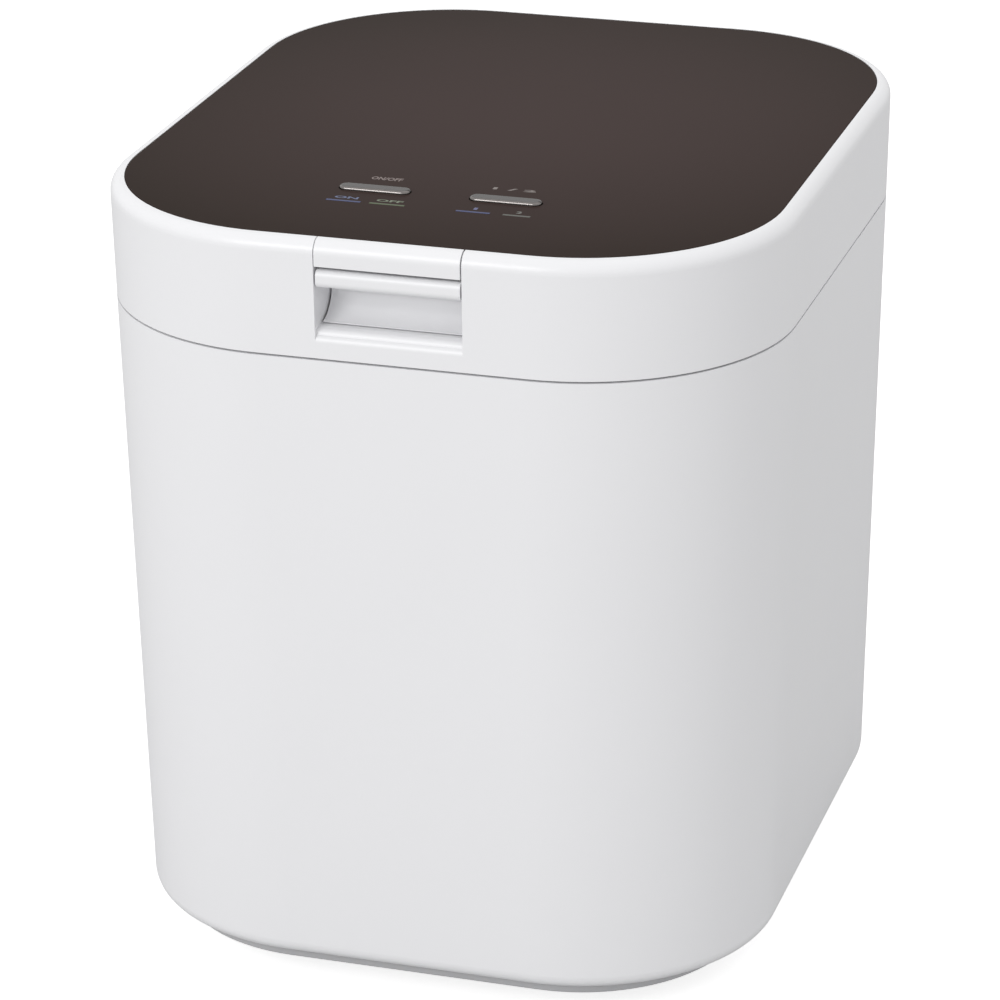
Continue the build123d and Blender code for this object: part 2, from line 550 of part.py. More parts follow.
with BuildPart() as lid_shell:
    tapered(lid_bottom, HEIGHT)
    fillet(lid_shell.edges().group_by(Axis.Z)[-1], LID_EDGE)
    tapered(lid_bottom, ceiling, WALL, mode=Mode.SUBTRACT)
    slab(*outline_at(HEIGHT, LID_EDGE + 0.3), top_wall, HEIGHT + 1, mode=Mode.SUBTRACT)
    # Rear web that carries the hinge barrel.
    block((-KNUCKLE_IN + 0.6, KNUCKLE_IN - 0.6), (126.5, 132.8), (lid_bottom, 240))
    # Opening for the latch, over a ledge whose edge has two rounded steps, and its two cheeks.
    block((-pocket_edge - CHEEK, pocket_edge + CHEEK), (-133.2, SHELF_BACK), (LEDGE_LOW, SHELF))
    with BuildSketch(Plane.YZ.offset(-pocket_edge)) as pocket:
        with BuildLine():
            under = Line((-140, SILL_LOW - 4), (sill_front, SILL_LOW))
            lower_step = RadiusArc(under @ 1, (sill_front + 1.35, SILL_LOW + 2.05), 2.4)
            valley = Line(lower_step @ 1, (sill_front + 1.45, SILL_LOW + 2.2))
            upper_step = RadiusArc(valley @ 1, (sill_front + 3.05, SHELF - 0.35), 2.2)
            Polyline(upper_step @ 1, (sill_front + 4.4, SHELF), (-118, SHELF), (-118, HEIGHT + 1),
                     (-140, HEIGHT + 1), under @ 0)
        make_face()
    extrude(pocket.sketch, amount=2 * pocket_edge, mode=Mode.SUBTRACT)
    for side in (-1, 1):
        block(sorted((side * pocket_edge, side * (pocket_edge + CHEEK))), (-133.5, -112),
              (LEDGE_LOW, ceiling))
    bar_x(LATCH_Y, LATCH_Z, -30, 30, 1.3, mode=Mode.SUBTRACT)
    # Openings for the push bars and the indicator windows.
    for x in BUTTON_X:
        with BuildSketch(Plane.XY.offset(ceiling - 1)) as bar_hole:
            with Locations((x, BUTTON_Y)):
                SlotOverall(BUTTON_SIZE[0] + 0.6, BUTTON_SIZE[1] + 0.6)
        extrude(bar_hole.sketch, amount=6, mode=Mode.SUBTRACT)
    for spans in window_spans.values():
        for left, right in spans:
            block((left - 0.15, right + 0.15), (WINDOW_Y - WINDOW_HALF - 0.15, WINDOW_Y + WINDOW_HALF + 0.15),
                  (ceiling - 1, HEIGHT), mode=Mode.SUBTRACT)
    # Posts for the control board and for the liner.
    for x, y in BOARD_SCREWS:
        post(x, y, BOARD_LID + 1.6, ceiling, 3.0)
        post(x, y, BOARD_LID + 1.6, ceiling - 1, 1.1, mode=Mode.SUBTRACT)
    for x, y in LID_SCREWS:
        post(x, y, LINER_BOTTOM + LINER, ceiling, 4.0)
        post(x, y, LINER_BOTTOM + LINER, LINER_BOTTOM + LINER + 14, 1.3, mode=Mode.SUBTRACT)
    # The rear edge is cut back over the hinge axis, to match the body.
    side_profile([(HINGE_Y, HINGE_Z + VEE_GAP), (HINGE_Y + 10, HINGE_Z + VEE_GAP + 10),
                  (HINGE_Y + 10, HINGE_Z - 5), (HINGE_Y, HINGE_Z - 5)], -100, 100, mode=Mode.SUBTRACT)
    bar_x(HINGE_Y, HINGE_Z, -KNUCKLE_OUT - 0.5, KNUCKLE_OUT + 0.5, BARREL + 0.5, mode=Mode.SUBTRACT)
    bar_x(HINGE_Y, HINGE_Z, -KNUCKLE_IN + 0.5, KNUCKLE_IN - 0.5, BARREL)
    block((-KNUCKLE_IN + 0.6, KNUCKLE_IN - 0.6), (126.6, HINGE_Y), (HINGE_Z + 1, HINGE_Z + 8))
    bar_x(HINGE_Y, HINGE_Z, -60, 60, HINGE_BORE, mode=Mode.SUBTRACT)
finish(lid_shell, "lid_shell")

# ---------------------------------------------------------------- top panel, buttons and windows
with BuildPart() as top_panel:
    slab(*outline_at(HEIGHT, LID_EDGE + 0.35), top_wall, HEIGHT)
    fillet(top_panel.edges().group_by(Axis.Z)[-1], 0.4)
    for x in BUTTON_X:
        with BuildSketch(Plane.XY.offset(top_wall)) as panel_hole:
            with Locations((x, BUTTON_Y)):
                SlotOverall(BUTTON_SIZE[0] + 0.6, BUTTON_SIZE[1] + 0.6)
        extrude(panel_hole.sketch, amount=3, mode=Mode.SUBTRACT)
    for spans in window_spans.values():
        for left, right in spans:
            block((left - 0.05, right + 0.05), (WINDOW_Y - WINDOW_HALF - 0.05, WINDOW_Y + WINDOW_HALF + 0.05),
                  (top_wall - 1, HEIGHT + 1), mode=Mode.SUBTRACT)
finish(top_panel, "top_panel")

BUTTON_PROUD = 1.0
SWITCH_TOP = 262.0
BUTTON_FLANGE = 1.4
for x, name in zip(BUTTON_X, ("power_button", "mode_button")):
    with BuildPart() as button:
        with BuildSketch(Plane.XY.offset(ceiling - 1.0)) as bar_face:
            with Locations((x, BUTTON_Y)):
                SlotOverall(*BUTTON_SIZE)
        extrude(bar_face.sketch, amount=HEIGHT + BUTTON_PROUD - ceiling + 1.0)
        fillet(button.edges().group_by(Axis.Z)[-1], 0.9)
        with BuildSketch(Plane.XY.offset(ceiling - 0.4 - BUTTON_FLANGE)) as flange_face:
            with Locations((x, BUTTON_Y)):
                SlotOverall(BUTTON_SIZE[0] + 3, BUTTON_SIZE[1] + 3)
        extrude(flange_face.sketch, amount=BUTTON_FLANGE)
        post(x, BUTTON_Y, SWITCH_TOP + BUTTON_TRAVEL + 0.3, ceiling - 1, 1.8)
    finish(button, name)

for colour, spans in window_spans.items():
    with BuildPart() as window:
        for left, right in spans:
            block((left, right), (WINDOW_Y - WINDOW_HALF, WINDOW_Y + WINDOW_HALF),
                  (BOARD_LID + 3.2, HEIGHT + 0.05))
    finish(window, f"indicator_window_{colour}")

# ---------------------------------------------------------------- control board
with BuildPart() as control_board:
    block((-46, 46), (-106, -57), (BOARD_LID, BOARD_LID + 1.6))
    for x, y in BOARD_SCREWS:
        post(x, y, 250, 262, 1.4, mode=Mode.SUBTRACT)
finish(control_board, "control_board")

with BuildPart() as tact_switches:
    for x in BUTTON_X:
        block((x - 3, x + 3), (BUTTON_Y - 3, BUTTON_Y + 3), (BOARD_LID + 1.6, BOARD_LID + 4.4))
        post(x, BUTTON_Y, BOARD_LID + 4.4, SWITCH_TOP, 1.6)
finish(tact_switches, "tact_switches")

with BuildPart() as indicator_lamps:
    for spans in window_spans.values():
        for left, right in spans:
            middle_x = (left + right) / 2
            block((middle_x - 1.8, middle_x + 1.8), (WINDOW_Y - 1.4, WINDOW_Y + 1.4),
                  (BOARD_LID + 1.6, BOARD_LID + 2.8))
finish(indicator_lamps, "indicator_lamps")

# ---------------------------------------------------------------- latch
GROOVE_LOW, GROOVE_HIGH = 260.2, 261.55
with BuildPart() as latch_cover:
    tapered(lid_bottom, HEIGHT)
    fillet(latch_cover.edges().group_by(Axis.Z)[-1], LID_EDGE)
    with Locations((-0.1, -130, (GROOVE_HIGH + HEIGHT) / 2)):
        Box(2 * (LATCH_HALF - LATCH_SEAM / 2), 24, HEIGHT - GROOVE_HIGH, mode=Mode.INTERSECT)
    tapered(lid_bottom, ceiling, WALL, mode=Mode.SUBTRACT)
    slab(*outline_at(HEIGHT, LID_EDGE + 0.3), top_wall, HEIGHT + 1, mode=Mode.SUBTRACT)
finish(latch_cover, "latch_cover")

BAR_FACE = -134.75
BAR_LOW = 254.2
LEVER_HALF = LATCH_HALF - LATCH_SEAM
HOOK_HALF = 7.0
HOOK_LOW = 226.2
HOOK_TOP = DECK_TOP - 0.3
HOOK_TIP = STRIKE_EDGE + 1.0
with BuildPart() as latch_lever:
    with BuildSketch(Plane.YZ.offset(-LEVER_HALF)):
        with BuildLine():
            top = Line((-118.0, GROOVE_LOW), (BAR_FACE, GROOVE_LOW))
            front = Line(top @ 1, (BAR_FACE, BAR_LOW))
            under = Line(front @ 1, (-119.6, BAR_LOW))
            upper_wall = Line(under @ 1, (-119.4, 248.5))
            curve = RadiusArc(upper_wall @ 1, (-128.3, SHELF + 0.8), 10.44)
            end = Line(curve @ 1, (-128.1, SHELF + 0.35))
            back_curve = RadiusArc(end @ 1, (-117.8, 249.0), -13.0)
            Line(back_curve @ 1, top @ 0)
        make_face()
    extrude(amount=2 * LEVER_HALF)
    bar_edges = latch_lever.edges().filter_by(Axis.X).group_by(Axis.Y)[0]
    fillet(bar_edges, 2.2)
    for side in (-1, 1):
        bar_x(LATCH_Y, LATCH_Z, *sorted((side * 9, side * LEVER_HALF)), 3.0)
    side_profile([(-122.3, HOOK_LOW + 1.6), (-122.3, 243.4), (-119.5, 246.8), (-119.5, HOOK_TOP),
                  (HOOK_TIP, HOOK_TOP), (HOOK_TIP, HOOK_TOP - 1), (-120.6, HOOK_LOW)], -HOOK_HALF, HOOK_HALF)
    bar_x(LATCH_Y, LATCH_Z, -30, 30, 1.3, mode=Mode.SUBTRACT)
    bar_x(LATCH_Y, LATCH_Z, -8, 8, 3.2, mode=Mode.SUBTRACT)
finish(latch_lever, "latch_lever")

with BuildPart() as latch_pin:
    bar_x(LATCH_Y, LATCH_Z, -pocket_edge - CHEEK, pocket_edge + CHEEK, 1.25)
finish(latch_pin, "latch_pin")

SPRING_WIRE = 0.45
with BuildPart() as latch_spring:
    for turn in range(8):
        with Locations(Pos((turn - 3.5) * 1.6 * SPRING_WIRE, LATCH_Y, LATCH_Z) * Rot(0, 90, 0)):
            Torus(2.2, SPRING_WIRE)
    block((-3.0, -2.2), (LATCH_Y + 1.9, LATCH_Y + 2.7), (LATCH_Z, ceiling))
    block((2.2, 3.0), (LATCH_Y - 8, LATCH_Y - 1.8), (GROOVE_LOW, GROOVE_LOW + 0.8))
finish(latch_spring, "latch_spring")

# ---------------------------------------------------------------- lid liner and gasket
BRACKET_ANGLES = (-150, -30, 45)       # three posts inside the fan dish, which carry the grille
BRACKET_RADIUS = 69.2
GRILLE_TOP = 233.4
bracket_spots = [(BRACKET_RADIUS * cos(radians(angle)), CHAMBER_Y + BRACKET_RADIUS * sin(radians(angle)))
                 for angle in BRACKET_ANGLES]
GASKET_MIDDLE = 2.4                    # outside the tub's wall line
GASKET_HALF = 2.2
GASKET_BOTTOM = DECK_TOP + FLANGE_THICK + 0.3
GASKET_TOP = LINER_BOTTOM + 1.4
with BuildPart() as lid_liner:
    slab(*outline_at(LINER_BOTTOM, WALL + FIT), LINER_BOTTOM, LINER_BOTTOM + LINER)
    block((-120, 120), (121.5, 150), (220, 240), mode=Mode.SUBTRACT)
    post(0, CHAMBER_Y, 220, 240, FAN_MOUTH, mode=Mode.SUBTRACT)
    block((-11, 11), (-127.5, -113), (220, 240), mode=Mode.SUBTRACT)
    for offset_out, keep in ((GASKET_MIDDLE + GASKET_HALF, Mode.SUBTRACT),
                             (GASKET_MIDDLE - GASKET_HALF, Mode.ADD)):
        slab(*[size + offset_out for size in CHAMBER], LINER_BOTTOM, GASKET_TOP, CHAMBER_Y, mode=keep)
    post(0, CHAMBER_Y, 220, 240, FAN_MOUTH, mode=Mode.SUBTRACT)
    post(LOOM_X, LOOM_Y, 220, 240, 3.6, mode=Mode.SUBTRACT)
    for x, y in LID_SCREWS:
        post(x, y, 220, 240, 1.8, mode=Mode.SUBTRACT)
finish(lid_liner, "lid_liner")

with BuildPart() as lid_gasket:
    slab(*[size + GASKET_MIDDLE + GASKET_HALF for size in CHAMBER], GASKET_BOTTOM, GASKET_TOP, CHAMBER_Y)
    slab(*[size + GASKET_MIDDLE - GASKET_HALF for size in CHAMBER], GASKET_BOTTOM, GASKET_TOP, CHAMBER_Y,
         mode=Mode.SUBTRACT)
finish(lid_gasket, "lid_gasket")

with BuildPart() as lid_screws:
    for x, y in LID_SCREWS:
        screw_up(x, y, LINER_BOTTOM - 0.9, 12, shank=1.3, head=2.8, head_height=0.9)
    for x, y in BOARD_SCREWS:
        screw_up(x, y, BOARD_LID - 1.4, 6, shank=1.1, head=2.4, head_height=1.4)
    for x, y in bracket_spots:
        screw_up(x, y, GRILLE_TOP - 2.2, 1.2, shank=1.2, head=2.4, head_height=1.0)
finish(lid_screws, "lid_screws")

with BuildPart() as lid_magnet:
    block((82, 92), (89, 95), (LINER_BOTTOM + LINER, LINER_BOTTOM + LINER + 4))
finish(lid_magnet, "lid_magnet")

# ---------------------------------------------------------------- circulation fan and heater
DISH_TOP = 252.0
dish_low = LINER_BOTTOM + LINER
with BuildPart() as fan_dish:
    with BuildSketch(Plane.XZ.offset(-CHAMBER_Y)):
        with BuildLine():
            Polyline((3.0, DISH_TOP), (66, DISH_TOP), (74.4, DISH_TOP - 6), (75.6, dish_low + SHEET),
                     (81, dish_low + SHEET), (81, dish_low), (74.5, dish_low), (73.2, DISH_TOP - 6.6),
                     (65.5, DISH_TOP - SHEET), (3.0, DISH_TOP - SHEET), close=True)
        make_face()
    revolve(axis=Axis((0, CHAMBER_Y, 0), (0, 0, 1)))
    for angle in (80, 100):
        post(64 * cos(radians(angle)), CHAMBER_Y + 64 * sin(radians(angle)), 240, 260, 3.6,
             mode=Mode.SUBTRACT)
finish(fan_dish, "fan_dish")

HEATER_RADIUS = 64.0
HEATER_Z = 243.0
HEATER_TUBE = 3.2
with BuildPart() as heater_ring:
    with Locations((0, CHAMBER_Y, HEATER_Z)):
        Torus(HEATER_RADIUS, HEATER_TUBE, major_angle=340, rotation=(0, 0, 100))
    for angle in (80, 100):
        x = HEATER_RADIUS * cos(radians(angle))
        y = CHAMBER_Y + HEATER_RADIUS * sin(radians(angle))
        with Locations((x, y, HEATER_Z)):
            Sphere(HEATER_TUBE)
        post(x, y, HEATER_Z, 256, HEATER_TUBE)
        post(x, y, 256, 260, 1.6)
finish(heater_ring, "heater_ring")

with BuildPart() as heater_brackets:
    for angle, (x, y) in zip(BRACKET_ANGLES, bracket_spots):
        post(x, y, GRILLE_TOP, DISH_TOP - 5.15, 1.85)
        with Locations(Pos(0, CHAMBER_Y, HEATER_Z + HEATER_TUBE + 0.85) * Rot(0, 0, angle)
                       * Pos(HEATER_RADIUS - 0.5, 0, 0)):
            Box(11, 5, 1.6)
finish(heater_brackets, "heater_brackets")

with BuildPart() as air_grille:
    post(0, CHAMBER_Y, GRILLE_TOP - 1.2, GRILLE_TOP, FAN_MOUTH - 0.4)
    for ring_radius, slot_length, slots in ((18, 12, 6), (32, 14, 10), (46, 16, 14), (60, 16, 18)):
        with Locations((0, CHAMBER_Y, GRILLE_TOP)):
            with PolarLocations(ring_radius, slots):
                Box(slot_length - 3, 3.2, 6, mode=Mode.SUBTRACT)
    for x, y in bracket_spots:
        post(x, y, 230, 240, 1.25, mode=Mode.SUBTRACT)
finish(air_grille, "air_grille")

MOTOR_TOP = 263.0
SHAFT = 2.0
with BuildPart() as fan_motor:
    post(0, CHAMBER_Y, DISH_TOP, DISH_TOP + 1.5, 30)
    post(0, CHAMBER_Y, DISH_TOP + 1.5, MOTOR_TOP, 25)
    fillet(fan_motor.edges().group_by(Axis.Z)[-1], 1.5)
    post(0, CHAMBER_Y, DISH_TOP - 1, MOTOR_TOP - 1.5, SHAFT + 0.05, mode=Mode.SUBTRACT)
finish(fan_motor, "fan_motor")

with BuildPart() as fan_shaft:
    post(0, CHAMBER_Y, 238, MOTOR_TOP - 2.0, SHAFT)
finish(fan_shaft, "fan_shaft")

BLADES = 11
with BuildPart() as fan_impeller:
    post(0, CHAMBER_Y, 238.5, 249, 7.5)
    post(0, CHAMBER_Y, 248, 249, 55)
    for blade in range(BLADES):
        with Locations(Pos(0, CHAMBER_Y, 243.5) * Rot(0, 0, 360 / BLADES * blade)):
            with Locations(Pos(40, 0, 0) * Rot(0, 0, 35)):
                Box(26, 1.2, 9.4)
    post(0, CHAMBER_Y, 230, 255, SHAFT, mode=Mode.SUBTRACT)
finish(fan_impeller, "fan_impeller")

# The resettable thermostat and the one-shot fuse beside it, both on the hot dish.
with BuildPart() as thermal_cutouts:
    post(-50, 10, DISH_TOP, DISH_TOP + 1, 9)
    post(-50, 10, DISH_TOP + 1, DISH_TOP + 7, 7.5)
    bar_x(20, DISH_TOP + 2.5, 34, 52, 2.5)
finish(thermal_cutouts, "thermal_cutouts")

LID_LOOM = [(30, -56.9, BOARD_LID + 4.0), (44, -40, BOARD_LID + 4.0), (84, -10, BOARD_LID + 3),
            (86, 60, BOARD_LID + 3), (74, 96, 256), (LOOM_X, LOOM_Y, 248), (LOOM_X, LOOM_Y, LINER_BOTTOM + 2)]
with BuildPart() as wire_loom_lid:
    lid_loom_length = loom(LID_LOOM, [14, 22, 22, 20, 5])
finish(wire_loom_lid, "wire_loom_lid")

with BuildPart() as hinge_loom:
    post(LOOM_X, LOOM_Y, DECK_TOP - DECK + 0.1, LINER_BOTTOM + 1.9, LOOM)
finish(hinge_loom, "hinge_loom")

print("loom lengths", round(body_loom_length, 1), round(lid_loom_length, 1))
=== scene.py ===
"""Looks of a counter-top electric food waste composter: a white lidded dryer with a dark panel.

Lengths are in metres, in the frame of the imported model: +Z up, the front faces -Y.
"""

from math import cos, pi, radians, sin

import bmesh
import bpy
from mathutils import Matrix, Vector


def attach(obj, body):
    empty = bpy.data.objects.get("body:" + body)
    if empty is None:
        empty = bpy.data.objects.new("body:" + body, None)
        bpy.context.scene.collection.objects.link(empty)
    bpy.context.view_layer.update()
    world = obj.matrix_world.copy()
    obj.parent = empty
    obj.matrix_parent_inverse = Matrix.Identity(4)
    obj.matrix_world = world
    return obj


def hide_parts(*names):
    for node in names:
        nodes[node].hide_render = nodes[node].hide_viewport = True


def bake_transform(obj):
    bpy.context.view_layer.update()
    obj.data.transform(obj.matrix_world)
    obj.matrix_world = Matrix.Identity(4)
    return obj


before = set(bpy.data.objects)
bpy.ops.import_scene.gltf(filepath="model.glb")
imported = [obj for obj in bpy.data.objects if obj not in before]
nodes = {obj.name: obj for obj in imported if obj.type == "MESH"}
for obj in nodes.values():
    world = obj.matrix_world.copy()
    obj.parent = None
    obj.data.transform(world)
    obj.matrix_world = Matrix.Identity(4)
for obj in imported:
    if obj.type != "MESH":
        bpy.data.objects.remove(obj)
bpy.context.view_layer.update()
scene = bpy.context.scene
MM = 0.001

# ---------------------------------------------------------------- camera
# A long lens, a little above the lid's height, that looks at the front from slightly to the right.
# The shift only frames the object.
AIM = Vector((-1.2, 0.0, 139.04)) * MM
AZIMUTH, ELEVATION, ROLL = radians(17.145), radians(22.115), radians(-0.562)
DISTANCE = 1491.94 * MM
SENSOR, FOCAL_LENGTH = 36, 153.34
SHIFT = (-0.01267, -0.01955)

forward = Vector((-sin(AZIMUTH) * cos(ELEVATION), cos(AZIMUTH) * cos(ELEVATION), -sin(ELEVATION)))
level_right = Vector((cos(AZIMUTH), sin(AZIMUTH), 0))
level_up = level_right.cross(forward)
right = level_right * cos(ROLL) + level_up * sin(ROLL)
up = level_up * cos(ROLL) - level_right * sin(ROLL)
lens = bpy.data.cameras.new("camera")
lens.sensor_width, lens.lens = SENSOR, FOCAL_LENGTH
lens.shift_x, lens.shift_y = SHIFT
camera = bpy.data.objects.new("camera", lens)
camera.matrix_world = (Matrix.Translation(AIM - forward * DISTANCE)
                       @ Matrix((right, up, -forward)).transposed().to_4x4())
scene.collection.objects.link(camera)
scene.camera = camera


# ---------------------------------------------------------------- white housing
# Body shell, lid shell, latch flap and lever, cord plate, filter bay and filter cassettes: one
# white plastic, injection moulded in polished tools, with the faint unevenness moulding leaves.
class Value:
    """A socket that takes Python's own signs: an expression on values adds its Math nodes."""

    def __init__(self, finish, socket):
        self.finish, self.socket = finish, socket

    def maths(self, operation, *others):
        """One Math node on this value and the others."""
        node = self.finish.node("ShaderNodeMath", {"operation": operation},
                                dict(enumerate((self, *others))))
        return Value(self.finish, node.outputs[0])

    def __add__(self, other):
        return self.maths("ADD", other)

    def __mul__(self, other):
        return self.maths("MULTIPLY", other)

    def __sub__(self, other):
        return self.maths("SUBTRACT", other)

    def __rsub__(self, other):
        return self * -1 + other

    def __gt__(self, other):
        return self.maths("GREATER_THAN", other)

    __radd__, __rmul__ = __add__, __mul__


class Finish:
    """A procedural material, or the studio's sky, built node by node."""

    def __init__(self, name, sky=None):
        self.owner = sky or bpy.data.materials.new(name)
        self.owner.use_nodes = True
        self.tree = self.owner.node_tree
        self.tree.nodes.clear()
        self.place = self.node("ShaderNodeTexCoord").outputs["Object"]

    def node(self, kind, settings=None, sockets=None):
        """Any node: its settings are set first, then the values or links of its sockets."""
        node = self.tree.nodes.new(kind)
        for key, value in (settings or {}).items():
            setattr(node, key, value)
        for key, value in (sockets or {}).items():
            value = value.socket if isinstance(value, Value) else value
            if isinstance(value, bpy.types.NodeSocket):
                self.tree.links.new(value, node.inputs[key])
            else:
                node.inputs[key].default_value = value
        return node

    def along(self, axis):
        """The place on the object along X, Y or Z, in metres."""
        return Value(self, self.node("ShaderNodeSeparateXYZ", None, {0: self.place}).outputs[axis])

    def facing(self, axis):
        """How far the surface faces along an axis, from -1 to 1."""
        normal = self.node("ShaderNodeNewGeometry").outputs["Normal"]
        return Value(self, self.node("ShaderNodeSeparateXYZ", None, {0: normal}).outputs[axis])

    def noise(self, scale, detail=2.0, stretch=(1, 1, 1)):
        """Even noise from 0 to 1; scale is in waves for each metre."""
        spot = self.node("ShaderNodeMapping", None, {"Vector": self.place, "Scale": stretch})
        node = self.node("ShaderNodeTexNoise", None,
                         {"Vector": spot.outputs[0], "Scale": scale, "Detail": detail})
        return Value(self, node.outputs["Fac"])

    def waves(self, axis, count, warp=0.0):
        """Straight waves from 0 to 1; count is waves for each metre."""
        # At scale 1 the node's bands turn through 20 radians in a metre.
        scale = count * 2 * pi / 20
        node = self.node("ShaderNodeTexWave", {"wave_type": "BANDS", "bands_direction": axis},
                         {"Vector": self.place, "Scale": scale, "Distortion": warp})
        return Value(self, node.outputs["Fac"])

    def mix(self, factor, first, second):
        """Two colours mixed by a value."""
        node = self.node("ShaderNodeMix", {"data_type": "RGBA"}, {0: factor, 6: first, 7: second})
        return node.outputs[2]

    def bump(self, height, depth):
        """A normal raised by a height from 0 to 1 that stands for depth metres."""
        return self.node("ShaderNodeBump", None, {"Height": height, "Distance": depth}).outputs[0]

    def surface(self, **sockets):
        """The closing shader; keywords are socket names with underscores for spaces."""
        named = {key.replace("_", " "): value for key, value in sockets.items()}
        shader = self.node("ShaderNodeBsdfPrincipled", None, named)
        self.node("ShaderNodeOutputMaterial", None, {"Surface": shader.outputs[0]})
        return self.owner


def tone(*levels):
    """A linear colour from display levels, 0 to 255."""
    shares = [level / 255 for level in levels]
    return (*[((v + 0.055) / 1.055) ** 2.4 if v > 0.04 else v / 12.92 for v in shares], 1.0)


def shade(colour, factor):
    """The same colour, lighter or darker."""
    return (*[factor * v for v in colour[:3]], 1.0)


def dress(material, *names):
    """Give CAD nodes a finish through their material slots."""
    for name in names:
        slots = nodes[name].data.materials
        slots.clear()
        slots.append(material)


def moulded(name, colour, roughness, grain=0.000004, grain_scale=1800, cloudy=0.97):
    """Moulded plastic or rubber: a fine skin, and small changes of tone and gloss over the piece."""
    finish = Finish(name)
    skin = finish.noise(grain_scale, 3)
    return finish.surface(Base_Color=finish.mix(finish.noise(24, 3), shade(colour, cloudy), colour),
                          Roughness=skin * 0.08 + finish.noise(60) * 0.04 + (roughness - 0.06),
                          Normal=finish.bump(skin, grain))


white_plastic = moulded("white_plastic", tone(234, 234, 236), 0.34, cloudy=0.985)
dress(white_plastic, "body_shell", "cord_plate", "lid_shell", "latch_cover", "latch_lever",
      "filter_bay", "filter_cassette_left", "filter_cassette_right")

# ---------------------------------------------------------------- plinth and feet
# The base plate is a grey moulding with air slots, set back under the rounded foot. Four black
# rubber feet are pressed into it, and six screws hold it to posts in the shell.
grey_plastic = moulded("grey_plastic", tone(186, 186, 188), 0.5, grain=0.00001)
dress(grey_plastic, "base_plate")

rubber = moulded("black_rubber", tone(44, 44, 45), 0.72, grain=0.00002, grain_scale=900)
dress(rubber, "rubber_feet")


def metal(name, colour, roughness, stretch=(1, 1, 1), scratch=0.0000015, scratch_scale=900):
    """Bare metal: long or even fine scratches, and a cloudy sheen."""
    finish = Finish(name)
    lines = finish.noise(scratch_scale, 4, stretch)
    return finish.surface(Base_Color=finish.mix(finish.noise(40, 3), shade(colour, 0.9), colour),
                          Metallic=1.0, Roughness=lines * 0.22 + (roughness - 0.11),
                          Normal=finish.bump(lines, scratch))


zinc = metal("zinc_plate", tone(196, 198, 194), 0.34)


def new_piece(name, shape, material, body, slot_name, *stands_for, smooth=35):
    """A bmesh as a piece that rides on a body, if one is named, and stands for CAD nodes."""
    mesh = bpy.data.meshes.new(name)
    bmesh.ops.recalc_face_normals(shape, faces=shape.faces)
    shape.to_mesh(mesh)
    shape.free()
    mesh.shade_smooth()
    mesh.set_sharp_from_angle(angle=radians(smooth))
    mesh.materials.append(material)
    piece = bpy.data.objects.new(name, mesh)
    scene.collection.objects.link(piece)
    if body:
        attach(piece, body)
    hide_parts(*stands_for)
    return piece


def ring_of(shape, radius, height, sides):
    """A level ring of points round the Z axis."""
    turns = [2 * pi * i / sides for i in range(sides)]
    return [shape.verts.new((radius * cos(turn), radius * sin(turn), height)) for turn in turns]


def bridge(shape, first, second):
    """Faces between two closed rings of the same count."""
    for i, corner in enumerate(first):
        j = (i + 1) % len(first)
        shape.faces.new((corner, first[j], second[j], second[i]))


# A screw's recess is a cross, with the half width and the reach of its arms as shares of the head.
UP, DOWN, REARWARD = (0, 0, 1), (0, 0, -1), (0, 1, 0)
SCREW_SIDES = 20
ARM, REACH = 0.22, 0.62
CROSS, corners = [], [(ARM, ARM), (ARM, REACH), (-ARM, REACH)]
for quarter in range(4):
    CROSS += corners
    corners = [(-y, x) for x, y in corners]


def add_screw(shape, place, aim, head, head_height, shank, length):
    """A pan-head screw with a cross recess: place is its head's top, aim points along its shank."""
    screw = bmesh.new()
    edge, tip = head_height * 0.45, -head_height - length
    profile = ((head * 0.8, 0), (head * 0.95, -edge * 0.35), (head, -edge), (head, -head_height),
               (shank, -head_height), (shank, tip + shank * 0.6), (shank * 0.5, tip))
    rings = [ring_of(screw, radius, height, SCREW_SIDES) for radius, height in profile]
    for first, second in zip(rings, rings[1:]):
        bridge(screw, first, second)
    screw.faces.new(rings[-1])
    deep_reach, depth = head * 0.7, head_height * 0.7
    cross = [screw.verts.new((x * head, y * head, 0)) for x, y in CROSS]
    deep = [screw.verts.new((x * deep_reach, y * deep_reach, -depth)) for x, y in CROSS]
    bridge(screw, cross, deep)
    screw.faces.new(deep)
    rims = [screw.edges.get((loop[i], loop[i - 1])) or screw.edges.new((loop[i], loop[i - 1]))
            for loop in (rings[0], cross) for i in range(len(loop))]
    bmesh.ops.triangle_fill(screw, use_beauty=True, edges=rims)
    mesh = bpy.data.meshes.new("screw")
    screw.to_mesh(mesh)
    screw.free()
    tilt = Vector(DOWN).rotation_difference(Vector(aim)).to_matrix().to_4x4()
    mesh.transform(Matrix.Translation(Vector(place) * MM) @ tilt @ Matrix.Scale(MM, 4))
    shape.from_mesh(mesh)
    bpy.data.meshes.remove(mesh)


BASE_SCREWS = [(-92, -45), (92, -45), (-92, 45), (92, 45), (0, -113.5), (0, 113.5)]
STANDOFFS = [(-66, -8), (66, -8), (-66, 72), (66, 72)]
BASE_SCREW_Z, STANDOFF_Z = 9.0, 25.0
base_screws = bmesh.new()
for x, y in BASE_SCREWS:
    add_screw(base_screws, (x, y, BASE_SCREW_Z), UP, head=2.9, head_height=1.1, shank=1.3, length=11)
for x, y in STANDOFFS:
    add_screw(base_screws, (x, y, STANDOFF_Z), DOWN, head=2.6, head_height=1.4, shank=1.2, length=6)
new_piece("base_cross_screws", base_screws, zinc, "housing", "zinc", "base_screws")

